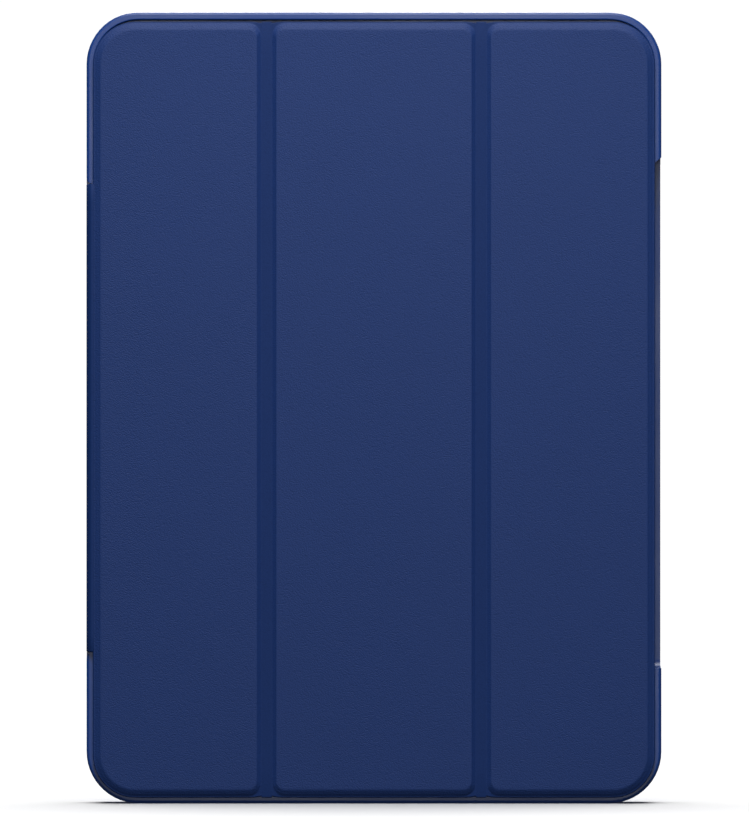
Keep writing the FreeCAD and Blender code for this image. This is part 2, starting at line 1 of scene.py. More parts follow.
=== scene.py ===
import json
import math
import bmesh
import bpy
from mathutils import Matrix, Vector

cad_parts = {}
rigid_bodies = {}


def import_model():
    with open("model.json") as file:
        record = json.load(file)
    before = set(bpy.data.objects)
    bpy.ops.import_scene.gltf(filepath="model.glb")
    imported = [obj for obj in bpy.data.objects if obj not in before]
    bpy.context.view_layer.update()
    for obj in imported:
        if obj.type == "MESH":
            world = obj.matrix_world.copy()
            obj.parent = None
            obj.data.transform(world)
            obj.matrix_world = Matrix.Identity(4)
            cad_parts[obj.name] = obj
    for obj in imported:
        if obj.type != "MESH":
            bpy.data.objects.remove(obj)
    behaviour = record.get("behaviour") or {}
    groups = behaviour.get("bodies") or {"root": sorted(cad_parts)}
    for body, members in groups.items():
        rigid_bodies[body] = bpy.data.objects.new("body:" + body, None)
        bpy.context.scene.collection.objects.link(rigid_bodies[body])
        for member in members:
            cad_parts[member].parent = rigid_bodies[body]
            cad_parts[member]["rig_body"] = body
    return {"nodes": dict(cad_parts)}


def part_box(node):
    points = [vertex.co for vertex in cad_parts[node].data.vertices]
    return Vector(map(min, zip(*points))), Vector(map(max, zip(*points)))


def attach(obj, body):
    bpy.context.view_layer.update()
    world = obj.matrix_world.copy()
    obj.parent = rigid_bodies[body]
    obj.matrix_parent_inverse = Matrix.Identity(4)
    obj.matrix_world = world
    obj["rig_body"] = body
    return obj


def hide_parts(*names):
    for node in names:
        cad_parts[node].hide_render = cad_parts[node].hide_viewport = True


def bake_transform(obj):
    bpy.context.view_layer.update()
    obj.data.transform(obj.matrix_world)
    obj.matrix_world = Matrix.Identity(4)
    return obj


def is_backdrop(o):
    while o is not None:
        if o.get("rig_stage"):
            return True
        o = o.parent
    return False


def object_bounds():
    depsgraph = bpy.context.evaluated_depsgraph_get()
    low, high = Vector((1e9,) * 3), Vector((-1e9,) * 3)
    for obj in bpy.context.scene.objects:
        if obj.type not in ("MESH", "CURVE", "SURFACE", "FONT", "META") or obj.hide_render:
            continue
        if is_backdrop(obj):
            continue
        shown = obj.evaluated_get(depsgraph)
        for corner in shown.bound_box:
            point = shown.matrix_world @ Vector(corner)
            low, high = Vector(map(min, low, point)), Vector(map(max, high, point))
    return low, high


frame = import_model()
cad_low, cad_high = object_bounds()

# ======================================================================== the studio
# A white floor with the closed case standing on it, seen square on from far away with a long
# lens. A wide glow lights the floor alone, and soft boxes in front, behind and at the two
# sides light everything but the floor, so that the case keeps its own darker reflections.

mm = 0.001
stand_off = 3.0
view_height = 268.4 * mm  # how much of the cover's plane the lens takes in
lens_aside = 0.33 * mm
lens_above_floor = 122.6 * mm
camera_data = bpy.data.cameras.new("camera")
camera_data.sensor_width = 36
camera_data.lens = camera_data.sensor_width * stand_off / view_height
camera_data.clip_end = 30
camera = bpy.data.objects.new("camera", camera_data)
camera.location = (lens_aside, cad_low.y - stand_off, lens_above_floor)
camera.rotation_euler = (math.radians(90), 0, 0)
bpy.context.scene.collection.objects.link(camera)
bpy.context.scene.camera = camera
bpy.context.scene.view_settings.view_transform = "Standard"


def light_the_room(horizon, zenith):
    """White behind everything; the room that the case reflects is dim, and changes with height."""
    world = bpy.data.worlds.new("room")
    world.use_nodes = True
    tree = world.node_tree
    tree.nodes.clear()
    place = tree.nodes.new("ShaderNodeTexCoord")
    split = tree.nodes.new("ShaderNodeSeparateXYZ")
    ramp = tree.nodes.new("ShaderNodeMapRange")
    ramp.inputs["From Min"].default_value = -0.1
    ramp.inputs["To Min"].default_value = horizon
    ramp.inputs["To Max"].default_value = zenith
    dim = tree.nodes.new("ShaderNodeBackground")
    dim.inputs["Color"].default_value = (0.95, 0.97, 1, 1)
    white = tree.nodes.new("ShaderNodeBackground")
    white.inputs["Color"].default_value = (1, 1, 1, 1)
    white.inputs["Strength"].default_value = 1.05
    ray = tree.nodes.new("ShaderNodeLightPath")
    mix = tree.nodes.new("ShaderNodeMixShader")
    out = tree.nodes.new("ShaderNodeOutputWorld")
    tree.links.new(place.outputs["Generated"], split.inputs[0])
    tree.links.new(split.outputs["Z"], ramp.inputs["Value"])
    tree.links.new(ramp.outputs["Result"], dim.inputs["Strength"])
    tree.links.new(ray.outputs["Is Camera Ray"], mix.inputs["Fac"])
    tree.links.new(dim.outputs[0], mix.inputs[1])
    tree.links.new(white.outputs[0], mix.inputs[2])
    tree.links.new(mix.outputs[0], out.inputs["Surface"])
    bpy.context.scene.world = world


def soft_box(name, place, aim, width, height, power):
    """A rectangular soft light that the lens doesn't see."""
    data = bpy.data.lights.new(name, "AREA")
    data.shape = "RECTANGLE"
    data.size = width
    data.size_y = height
    data.energy = power
    light = bpy.data.objects.new(name, data)
    light.location = place
    light.rotation_euler = (Vector(aim) - Vector(place)).to_track_quat("-Z", "Y").to_euler()
    light.visible_camera = False
    bpy.context.scene.collection.objects.link(light)
    return light


def lay_floor(reach):
    """A matt white floor that bounces nothing back on to the case."""
    mesh = bpy.data.meshes.new("floor")
    corners = [(-reach, -reach, 0), (reach, -reach, 0), (reach, reach, 0), (-reach, reach, 0)]
    mesh.from_pydata(corners, [], [(0, 1, 2, 3)])
    floor = bpy.data.objects.new("floor", mesh)
    paint = bpy.data.materials.new("white floor paint")
    paint.use_nodes = True
    shader = paint.node_tree.nodes["Principled BSDF"]
    shader.inputs["Base Color"].default_value = (0.9, 0.9, 0.9, 1)
    shader.inputs["Roughness"].default_value = 0.9
    shader.inputs["Specular IOR Level"].default_value = 0
    mesh.materials.append(paint)
    floor.visible_diffuse = False
    floor.visible_glossy = False
    bpy.context.scene.collection.objects.link(floor)
    floor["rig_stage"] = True
    return floor


def share_light(light, floor, floor_lit):
    """Lets a light reach the floor alone, or everything but the floor."""
    share = bpy.data.collections.new("floor only" if floor_lit else "all but the floor")
    share.objects.link(floor)
    if not floor_lit:
        share.collection_objects[0].light_linking.link_state = "EXCLUDE"
    light.light_linking.receiver_collection = share


def light_floor(floor, spread, lean, strength):
    """A wide overhead glow for the floor; it leans back, so the case's shadow falls forward."""
    data = bpy.data.lights.new("floor glow", "SUN")
    data.angle = math.radians(spread)
    data.energy = strength
    glow = bpy.data.objects.new("floor glow", data)
    glow.rotation_euler = (math.radians(-lean), 0, 0)
    bpy.context.scene.collection.objects.link(glow)
    share_light(glow, floor, True)


middle_z = (cad_low.z + cad_high.z) / 2
aim = (0, 0, middle_z)
floor_reach = 2.0
floor = lay_floor(floor_reach)
light_floor(floor, spread=50, lean=5, strength=3.75)
light_the_room(horizon=0.07, zenith=0.03)
boxes = [
    soft_box("key box", (0, -1.3, middle_z + 2.25), aim, 0.9, 0.7, 47),
    soft_box("lens box", (0, -2.8, middle_z + 0.15), aim, 0.25, 0.25, 6.5),
    soft_box("near box", (0, -0.35, 0.42), aim, 0.3, 0.15, 0.5),
    soft_box("rear box", (0, 2.0, 1.9), aim, 1.2, 1.0, 60),
    soft_box("left box", (-1.5, 2.0, 1.2), aim, 0.9, 0.9, 14),
    soft_box("right box", (1.5, 2.0, 1.2), aim, 0.9, 0.9, 14),
]
for light in boxes:
    share_light(light, floor, False)

# ======================================================================== the back plate
# A flat plate of hard polycarbonate, 1.6 mm thick, moulded in the same navy and bonded into
# the rear flange of the soft frame. Its face has the faint sparkle of a fine spark texture.

navy = (0.0075, 0.042, 0.205)


def start_finish(name, colour, roughness, level=0.5):
    """A new material: its node tree and its shader, with the even values already set."""
    finish = bpy.data.materials.new(name)
    finish.use_nodes = True
    tree = finish.node_tree
    shader = tree.nodes["Principled BSDF"]
    shader.inputs["Base Color"].default_value = (*colour, 1)
    shader.inputs["Roughness"].default_value = roughness
    shader.inputs["Specular IOR Level"].default_value = level
    return finish, tree, shader


def make_group(name, inputs, outputs):
    """An empty node group with named inputs and outputs, and its two end nodes."""
    group = bpy.data.node_groups.new(name, "ShaderNodeTree")
    for label, kind, value in inputs:
        socket = group.interface.new_socket(label, in_out="INPUT", socket_type=kind)
        if value is not None:
            socket.default_value = value
    for label, kind in outputs:
        group.interface.new_socket(label, in_out="OUTPUT", socket_type=kind)
    start = group.nodes.new("NodeGroupInput")
    end = group.nodes.new("NodeGroupOutput")
    return group, start, end


def add_noise(tree, vector, scale, detail=2.0, roughness=0.5, distortion=0.0):
    """A noise node with the given vector plugged in."""
    node = tree.nodes.new("ShaderNodeTexNoise")
    node.inputs["Detail"].default_value = detail
    node.inputs["Roughness"].default_value = roughness
    node.inputs["Distortion"].default_value = distortion
    tree.links.new(vector, node.inputs["Vector"])
    if isinstance(scale, (int, float)):
        node.inputs["Scale"].default_value = scale
    else:
        tree.links.new(scale, node.inputs["Scale"])
    return node


def add_math(tree, kind, first, second):
    """A math node; each input is a number or a socket."""
    node = tree.nodes.new("ShaderNodeMath")
    node.operation = kind
    for slot_number, value in enumerate((first, second)):
        if isinstance(value, (int, float)):
            node.inputs[slot_number].default_value = value
        else:
            tree.links.new(value, node.inputs[slot_number])
    return node.outputs[0]


def add_blend(tree, amount, first, second):
    """A colour mix; amount is a socket, and each colour is a tuple or a socket."""
    node = tree.nodes.new("ShaderNodeMix")
    node.data_type = "RGBA"
    tree.links.new(amount, node.inputs["Factor"])
    for label, value in (("A", first), ("B", second)):
        sockets = [s for s in node.inputs if s.name == label and s.type == "RGBA"]
        if isinstance(value, tuple):
            sockets[0].default_value = (*value, 1)
        else:
            tree.links.new(value, sockets[0])
    return [s for s in node.outputs if s.type == "RGBA"][0]


def spark_texture():
    """The fine pitted texture of a moulding tool: height, gloss change and slow colour drift."""
    inputs = [
        ("Place", "NodeSocketVector", None),
        ("Pits per mm", "NodeSocketFloat", 4.0),
        ("Roughness", "NodeSocketFloat", 0.5),
        ("Gloss change", "NodeSocketFloat", 0.06),
    ]
    outputs = [
        ("Height", "NodeSocketFloat"), ("Roughness", "NodeSocketFloat"),
        ("Drift", "NodeSocketFloat"),
    ]
    group, start, end = make_group("spark texture", inputs, outputs)
    to_mm = group.nodes.new("ShaderNodeVectorMath")
    to_mm.operation = "SCALE"
    to_mm.inputs["Scale"].default_value = 1000
    group.links.new(start.outputs["Place"], to_mm.inputs[0])
    pits = add_noise(group, to_mm.outputs[0], start.outputs["Pits per mm"], 3, 0.6)
    slow = add_noise(group, to_mm.outputs[0], 0.03, 3, 0.55)
    swing = add_math(group, "SUBTRACT", slow.outputs["Fac"], 0.5)
    swing = add_math(group, "MULTIPLY", swing, start.outputs["Gloss change"])
    swing = add_math(group, "MULTIPLY", swing, 4.0)
    rough = add_math(group, "ADD", start.outputs["Roughness"], swing)
    group.links.new(pits.outputs["Fac"], end.inputs["Height"])
    group.links.new(rough, end.inputs["Roughness"])
    group.links.new(slow.outputs["Fac"], end.inputs["Drift"])
    return group


spark = spark_texture()


def use_group(tree, group, values):
    """Places a node group in a material, fed with the object's own coordinates."""
    node = tree.nodes.new("ShaderNodeGroup")
    node.node_tree = group
    place = tree.nodes.new("ShaderNodeTexCoord")
    tree.links.new(place.outputs["Object"], node.inputs["Place"])
    for label, value in values.items():
        node.inputs[label].default_value = value
    return node


def add_bump(tree, shader, height, deep, strength=1.0):
    """A bump node between a height and the shader; deep is how many metres a height of 1 is."""
    bump = tree.nodes.new("ShaderNodeBump")
    bump.inputs["Strength"].default_value = strength
    bump.inputs["Distance"].default_value = deep
    tree.links.new(height, bump.inputs["Height"])
    tree.links.new(bump.outputs["Normal"], shader.inputs["Normal"])
    return bump


def moulded(name, colour, roughness, pits_per_mm, deep, level=0.5):
    """A moulded plastic or rubber with a spark texture from its tool."""
    finish, tree, shader = start_finish(name, colour, roughness, level)
    values = {"Pits per mm": pits_per_mm, "Roughness": roughness}
    texture = use_group(tree, spark, values)
    darker = tuple(0.9 * c for c in colour)
    lighter = tuple(1.08 * c for c in colour)
    drift = add_blend(tree, texture.outputs["Drift"], darker, lighter)
    tree.links.new(drift, shader.inputs["Base Color"])
    tree.links.new(texture.outputs["Roughness"], shader.inputs["Roughness"])
    add_bump(tree, shader, texture.outputs["Height"], deep)
    return finish


def dress(node_name, finish, edge_round, angle=35):
    """Gives a CAD node its finish and eases its sharp edges."""
    piece = frame["nodes"][node_name]
    piece.data.materials.clear()
    piece.data.materials.append(finish)
    if edge_round:
        weld = piece.modifiers.new("weld", "WELD")
        weld.merge_threshold = 0.002 * mm
        ease = piece.modifiers.new("eased edges", "BEVEL")
        ease.width = edge_round
        ease.segments = 3
        ease.limit_method = "ANGLE"
        ease.angle_limit = math.radians(angle)
        ease.harden_normals = True
    return piece


shell_plastic = moulded("navy polycarbonate", navy, 0.42, 5.0, 0.012 * mm)
dress("back_plate", shell_plastic, 0.2 * mm)

# ======================================================================== the bumper frame
# One ring of navy thermoplastic polyurethane, moulded over the plate's edge. A full round
# bead runs round its front, and its left wall has the gap for the spine, its right wall the
# cutaway for a stylus. The rubber is a little glossier than the cover's skin.

frame_navy = tuple(1.3 * c for c in navy)
soft_rubber = moulded("navy soft rubber", frame_navy, 0.36, 6.0, 0.004 * mm)
dress("bumper_frame", soft_rubber, 0)

# ======================================================================== the camera ring
# A thin ring of the same soft rubber, moulded round the camera opening so that the plate's
# edge doesn't scratch the lens surround. It is bonded flush with the plate.

dress("camera_ring", soft_rubber, 0.25 * mm)

# ======================================================================== the buttons
# Three soft press pads over the tablet's own buttons, moulded with the frame and joined to
# it by a thin skin. Their top edges are softened so that a finger finds them.

for name in ("power_button", "volume_up_button", "volume_down_button"):
    dress(name, soft_rubber, 0.45 * mm, 50)

# ======================================================================== the cover's skin
# Polyurethane leather on a knitted back, navy, 0.8 mm thick and heat formed over the three
# boards. Each panel stands 1 mm proud of its hem with a soft crown and a hollow foot, and
# its outer edge is turned in behind, where the lining is laid against it.

cover_front = cad_low.y


def formed_grain():
    """Pebbled leather grain: the height of pebbles and fine wrinkles, the creases (used for painted
    shade and for roughness), a slow drift.
    """
    inputs = [
        ("Place", "NodeSocketVector", None),
        ("Pebbles per mm", "NodeSocketFloat", 2.6),
        ("Wrinkles", "NodeSocketFloat", 1.2),
    ]
    outputs = [
        ("Height", "NodeSocketFloat"), ("Crease and shade", "NodeSocketFloat"),
        ("Drift", "NodeSocketFloat"),
    ]
    group, start, end = make_group("formed grain", inputs, outputs)
    to_mm = group.nodes.new("ShaderNodeMapping")
    to_mm.inputs["Scale"].default_value = (850, 1000, 1150)
    to_mm.inputs["Rotation"].default_value = (0, math.radians(28), 0)
    group.links.new(start.outputs["Place"], to_mm.inputs["Vector"])
    stir = add_noise(group, to_mm.outputs[0], 0.8, 2, 0.5)
    push = group.nodes.new("ShaderNodeVectorMath")
    push.operation = "SCALE"
    push.inputs["Scale"].default_value = 0.6
    group.links.new(stir.outputs["Color"], push.inputs[0])
    stirred = group.nodes.new("ShaderNodeVectorMath")
    stirred.operation = "ADD"
    group.links.new(to_mm.outputs[0], stirred.inputs[0])
    group.links.new(push.outputs[0], stirred.inputs[1])
    cells = group.nodes.new("ShaderNodeTexVoronoi")
    cells.feature = "SMOOTH_F1"
    cells.inputs["Smoothness"].default_value = 0.5
    group.links.new(stirred.outputs[0], cells.inputs["Vector"])
    group.links.new(start.outputs["Pebbles per mm"], cells.inputs["Scale"])
    fine = add_noise(group, to_mm.outputs[0], 2.8, 3, 0.6, 0.3)
    dome = add_math(group, "SUBTRACT", 1.0, cells.outputs["Distance"])
    fine_part = add_math(group, "MULTIPLY", fine.outputs["Fac"], start.outputs["Wrinkles"])
    height = add_math(group, "ADD", dome, fine_part)
    slow = add_noise(group, to_mm.outputs[0], 0.025, 3, 0.5)
    group.links.new(height, end.inputs["Height"])
    group.links.new(cells.outputs["Distance"], end.inputs["Crease and shade"])
    group.links.new(slow.outputs["Fac"], end.inputs["Drift"])
    return group


grain = formed_grain()


def leather(name, colour, roughness, level, wrinkles, deep):
    """Grained leather; the creases are darkened with painted shade, and they are a little rougher than
    the pebbles.
    """
    finish, tree, shader = start_finish(name, colour, roughness, level)
    texture = use_group(tree, grain, {"Wrinkles": wrinkles})
    darker = tuple(0.95 * c for c in colour)
    lighter = tuple(1.05 * c for c in colour)
    drift = add_blend(tree, texture.outputs["Drift"], darker, lighter)
    # painted shade: the creases between the pebbles are mixed towards a darker navy
    crease_shaded = add_blend(tree, texture.outputs["Crease and shade"], drift, tuple(0.8 * c for c in colour))
    tree.links.new(crease_shaded, shader.inputs["Base Color"])
    rough = add_math(tree, "MULTIPLY", texture.outputs["Crease and shade"], 0.1)
    rough = add_math(tree, "ADD", rough, roughness - 0.04)
    tree.links.new(rough, shader.inputs["Roughness"])
    add_bump(tree, shader, texture.outputs["Height"], deep)
    return finish


# The pressed leather of the hems, grooves, folds and spine has a weaker gloss, and its navy is painted
# 17% darker than the raised panels' as painted shade for those recesses.
shaded_pressed_navy = tuple(0.83 * c for c in navy)
raised_leather = leather("navy pebbled leather", navy, 0.6, 0.44, 1.0, 0.09 * mm)
pressed_leather_painted_shade = leather("navy pressed leather with painted shade", shaded_pressed_navy, 0.62, 0.25, 0.8, 0.02 * mm)

corner_steps = 8
across_steps = 10
up_steps = 26


def rounded_ring(left, right, low, high, radii, y):
    """Points round a rectangle with round corners, always the same number of them, from the
    middle of the low left corner along the low side. radii are (left, right)."""
    left_r, right_r = radii
    low_left = (left + left_r, low + left_r, left_r)
    low_right = (right - right_r, low + right_r, right_r)
    high_right = (right - right_r, high - right_r, right_r)
    high_left = (left + left_r, high - left_r, left_r)
    sides = (
        (low_left, low_right, 225, across_steps), (low_right, high_right, 315, up_steps),
        (high_right, high_left, 45, across_steps), (high_left, low_left, 135, up_steps),
    )
    points = []

    def on_arc(corner, degrees):
        angle = math.radians(degrees)
        x = corner[0] + corner[2] * math.cos(angle)
        z = corner[1] + corner[2] * math.sin(angle)
        return Vector((x, y, z))

    for first, second, start, steps in sides:
        for i in range(corner_steps + 1):
            points.append(on_arc(first, start + 45 * i / corner_steps))
        leave = points[-1]
        arrive = on_arc(second, start + 45)
        for i in range(1, steps):
            points.append(leave.lerp(arrive, i / steps))
        for i in range(corner_steps):
            points.append(on_arc(second, start + 45 + 45 * i / corner_steps))
    return points


def add_ring(bm, points):
    return [bm.verts.new(p) for p in points]


def join_rings(bm, first, second, finish_number=0):
    """Quads between two rings of the same number of points."""
    count = len(first)
    for i in range(count):
        j = (i + 1) % count
        face = bm.faces.new((first[i], first[j], second[j], second[i]))
        face.material_index = finish_number


def cap_ring(bm, ring):
    """Fills a ring made by rounded_ring with an even grid of quads."""
    across = 2 * corner_steps + across_steps
    up = 2 * corner_steps + up_steps
    low = ring[: across + 1]
    right = ring[across : across + up + 1]
    high = ring[across + up : 2 * across + up + 1][::-1]
    left = (ring[2 * across + up :] + ring[:1])[::-1]
    grid = [[None] * (up + 1) for _ in range(across + 1)]
    for i in range(across + 1):
        grid[i][0] = low[i]
        grid[i][up] = high[i]
    for j in range(up + 1):
        grid[0][j] = left[j]
        grid[across][j] = right[j]
    for i in range(1, across):
        u = i / across
        for j in range(1, up):
            v = j / up
            along = low[i].co * (1 - v) + high[i].co * v + left[j].co * (1 - u) + right[j].co * u
            corners = low[0].co.lerp(low[-1].co, u) * (1 - v) + high[0].co.lerp(high[-1].co, u) * v
            grid[i][j] = bm.verts.new(along - corners)
    for i in range(across):
        for j in range(up):
            bm.faces.new((grid[i][j], grid[i + 1][j], grid[i + 1][j + 1], grid[i][j + 1]))


def trim(bm, x, keep_right):
    """Cuts a closed mesh at a plane across X and closes the cut with one face."""
    away = -1 if keep_right else 1
    everything = bm.verts[:] + bm.edges[:] + bm.faces[:]
    bmesh.ops.bisect_plane(
        bm, geom=everything, dist=1e-7, plane_co=(x, 0, 0), plane_no=(away, 0, 0),
        clear_outer=True,
    )
    open_edges = [e for e in bm.edges if e.is_boundary]
    bmesh.ops.edgeloop_fill(bm, edges=open_edges)


def finish_mesh(bm, name, finishes, sharp=50):
    """Makes a smooth shaded object of a bmesh, with the edges over an angle kept sharp."""
    bmesh.ops.recalc_face_normals(bm, faces=bm.faces[:])
    for face in bm.faces:
        face.smooth = True
    for edge in bm.edges:
        if len(edge.link_faces) == 2 and edge.calc_face_angle() > math.radians(sharp):
            edge.smooth = False
    mesh = bpy.data.meshes.new(name)
    bm.to_mesh(mesh)
    bm.free()
    for finish in finishes:
        mesh.materials.append(finish)
    piece = bpy.data.objects.new(name, mesh)
    bpy.context.scene.collection.objects.link(piece)
    return piece


bevel_run = 2.2 * mm  # from the hem's edge to the panel's crown
end_bevel_run = 2.8 * mm  # the same, at the top and the bottom
crown_eased = 0.55 * mm  # the leather bulges this much past the board at those two ends
fold_wall_run = 1.35 * mm
panel_rise = 1.0 * mm
crown_radius = 11.4 * mm  # of the plateau at the cover's outer corners
fold_crown_radius = 3.0 * mm
turned_edge = 0.28 * mm  # radius of the turned edge, front and back
turn_in = 3.0 * mm
hem_back = cover_front + 2.4 * mm
lining_seat = cover_front + 1.85 * mm
board_low = cover_front + 0.78 * mm
board_room = 0.25 * mm
past_fold = 10 * mm


# The formed slope: (share of the way out from the crown to the foot, share of the rise that
# is lost there). It turns over the board's edge, eases, and runs out hollow to the hem.
slope = (
    (-0.75, 0), (-0.37, 0), (-0.24, 0.01), (-0.12, 0.045), (0, 0.12), (0.09, 0.225), (0.18, 0.33),
    (0.27, 0.41), (0.36, 0.475), (0.48, 0.57), (0.62, 0.715), (0.75, 0.84), (0.87, 0.935),
    (0.95, 0.98), (1, 1),
)


def hem_profile(front, back, inset):
    """The turned edge as (inset, y) pairs from the front face round to the back face."""
    pairs = []
    for i in range(6):
        angle = math.radians(90 * i / 5)
        pairs.append((inset * (1 - math.sin(angle)), front + inset * (1 - math.cos(angle))))
    for i in range(6):
        angle = math.radians(90 * i / 5)
        pairs.append((inset * (1 - math.cos(angle)), back - inset * (1 - math.sin(angle))))
    return pairs


def panel_skin(number, left_fold, right_fold):
    """One panel's skin as a closed shell round its board."""
    low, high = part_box(f"panel_{number}_skin")
    left_run = fold_wall_run if left_fold else bevel_run
    right_run = fold_wall_run if right_fold else bevel_run
    crown_low = low.z + end_bevel_run - crown_eased
    crown_high = high.z - end_bevel_run + crown_eased
    crown = (low.x + left_run, high.x - right_run, crown_low, crown_high)
    crown_radii = [fold_crown_radius if fold else crown_radius for fold in (left_fold, right_fold)]
    foot_inset = turned_edge + 0.03 * mm
    fold_inset = 0.1 * mm
    left_foot = left_run - (fold_inset if left_fold else foot_inset)
    right_foot = right_run - (fold_inset if right_fold else foot_inset)
    end_foot = end_bevel_run - crown_eased - foot_inset

    def grown(share, y):
        a, b, c, d = crown
        gentle = share ** 0.75 if share > 0 else share
        out = [share * left_foot, share * right_foot, gentle * end_foot]
        radii = [max(0.2 * mm, crown_radii[k] + out[k]) for k in (0, 1)]
        return rounded_ring(a - out[0], b + out[1], c - out[2], d + out[2], radii, y)

    hem_left = low.x - (past_fold if left_fold else 0)
    hem_right = high.x + (past_fold if right_fold else 0)
    hem_radius = 13.6 * mm

    def hem_ring(inset, y):
        radii = [hem_radius - inset] * 2
        limits = (hem_left + inset, hem_right - inset, low.z + inset, high.z - inset)
        return rounded_ring(*limits, radii, y)

    bm = bmesh.new()
    rings = [add_ring(bm, grown(out, cover_front + panel_rise * drop)) for out, drop in slope]
    foot = len(rings) - 1
    for inset, y in hem_profile(cover_front + panel_rise, hem_back, turned_edge):
        rings.append(add_ring(bm, hem_ring(inset, y)))
    rings.append(add_ring(bm, hem_ring(turn_in - 0.1 * mm, hem_back)))
    rings.append(add_ring(bm, hem_ring(turn_in, hem_back - 0.1 * mm)))
    rings.append(add_ring(bm, hem_ring(turn_in, lining_seat)))
    board = (crown[0] + board_room, crown[1] - board_room, crown[2] + board_room, crown[3] - board_room)
    board_radii = [r - board_room for r in crown_radii]
    for y in (lining_seat, board_low):
        rings.append(add_ring(bm, rounded_ring(*board, board_radii, y)))
    for k in range(len(rings) - 1):
        join_rings(bm, rings[k], rings[k + 1], 1 if k >= foot else 0)
    cap_ring(bm, rings[0])
    cap_ring(bm, rings[-1])
    if left_fold:
        trim(bm, low.x, True)
    if right_fold:
        trim(bm, high.x, False)
    piece = finish_mesh(bm, f"panel_{number}_leather", [raised_leather, pressed_leather_painted_shade])
    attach(piece, f"panel_{number}")
    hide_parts(f"panel_{number}_skin")
    return piece


panel_folds = {1: (False, True), 2: (True, True), 3: (True, False)}
for number, folds in panel_folds.items():
    panel_skin(number, *folds)

# ======================================================================== the folds
# The same leather without a board behind it: a strip 3.2 mm wide that runs the whole height
# between two panels. The real strip bends when the cover folds; this one is built flat and is
# tied to neither panel. Its two ends are turned in like the hem.

strip_steps = 12
fold_hollow = 0.16 * mm  # the strip is pressed this much thinner in its middle, behind
behind_middle = cover_front + 2.0 * mm


def sweep_fold(bm, low_x, high_x, outline):
    """Sweeps an outline of (z, y) pairs across a fold, and thins it from behind on the way."""
    loops = []
    for i in range(strip_steps + 1):
        x = low_x + (high_x - low_x) * i / strip_steps
        thinner = fold_hollow * math.sin(math.pi * i / strip_steps)
        points = [(x, y - thinner if y > behind_middle else y, z) for z, y in outline]
        loops.append([bm.verts.new(p) for p in points])
    for first, second in zip(loops, loops[1:]):
        join_rings(bm, first, second)
    bm.faces.new(loops[0])
    bm.faces.new(loops[-1][::-1])


def strip_outline(front, low_z, high_z):
    """The cut edge of the fold's leather as (z, y) pairs, its two ends turned in like the hem."""
    turned = hem_profile(front, hem_back, turned_edge)
    turned += [(turn_in, hem_back), (turn_in, lining_seat)]
    flat_low = low_z + turned_edge
    flat_high = high_z - turned_edge
    pairs = [(low_z + inset, y) for inset, y in turned[::-1]]
    pairs += [(flat_low + (flat_high - flat_low) * i / up_steps, front) for i in range(1, up_steps)]
    pairs += [(high_z - inset, y) for inset, y in turned]
    return pairs


def fold_leather(number):
    low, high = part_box(f"fold_web_{number}")
    front = cover_front + panel_rise
    outline = strip_outline(front, low.z, high.z)
    bm = bmesh.new()
    sweep_fold(bm, low.x, high.x, outline)
    piece = finish_mesh(bm, f"fold_{number}_leather", [pressed_leather_painted_shade])
    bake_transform(piece)
    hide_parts(f"fold_web_{number}")
    return piece


fold_leather(1)
fold_leather(2)

# ======================================================================== the spine's skin
# One strip of the same leather wraps the left side: it comes off the back, where it is bonded
# as a flap, turns round the rear edge, covers the spine's stiffener and turns round the front
# edge on to the first panel. It is made in two halves that meet in the middle of the spine.

skin = 0.8 * mm
spine_end_round = 0.3 * mm
spine_end_overlap = 0.28 * mm  # the soft leather swells past the stiffener, almost to the rim
arc_steps = 12


def strip_between(outside, inside, low_z, high_z, name):
    """A closed strip swept up Z from two lines of (x, y) points, with its ends eased."""
    levels = [
        (low_z, spine_end_round), (low_z + 0.3 * spine_end_round, 0.3 * spine_end_round),
        (low_z + spine_end_round, 0),
    ]
    length = high_z - low_z
    levels += [(low_z + length * i / up_steps, 0) for i in range(1, up_steps)]
    levels += [(high_z + low_z - z, ease) for z, ease in levels[2::-1]]
    bm = bmesh.new()
    rings = []
    for z, ease in levels:
        share = ease / skin
        shrunk = [Vector(o).lerp(Vector(i), share) for o, i in zip(outside, inside)]
        deep = [Vector(i).lerp(Vector(o), share) for o, i in zip(outside, inside)]
        rings.append([bm.verts.new((p.x, p.y, z)) for p in shrunk + deep[::-1]])
    for first, second in zip(rings, rings[1:]):
        join_rings(bm, first, second)
    bm.faces.new(rings[0])
    bm.faces.new(rings[-1][::-1])
    return finish_mesh(bm, name, [pressed_leather_painted_shade])


def wrap_lines(centre, radius, down, bluntness, spine_middle, run_out):
    """The outer and inner line of a wrap: half the spine's width, a quarter turn, then flat.
    down is 1 towards the back. A bluntness of 2 is a round turn, and less is a flatter one."""
    power = 2 / bluntness
    outside = []
    inside = []

    def add(x, y, inner_x, inner_y):
        outside.append((x, y))
        inside.append((inner_x, inner_y))

    side = centre.x - radius
    for i in range(8):
        y = spine_middle + (centre.y - spine_middle) * i / 8
        add(side, y, side + skin, y)
    inner = radius - skin
    for i in range(arc_steps + 1):
        angle = math.radians(90 * i / arc_steps)
        across = math.cos(angle) ** power if i < arc_steps else 0
        along = down * math.sin(angle) ** power
        add(
            centre.x - radius * across, centre.y + radius * along,
            centre.x - inner * across, centre.y + inner * along,
        )
    for x in run_out:
        add(x, centre.y + down * radius, x, centre.y + down * inner)
    return outside, inside


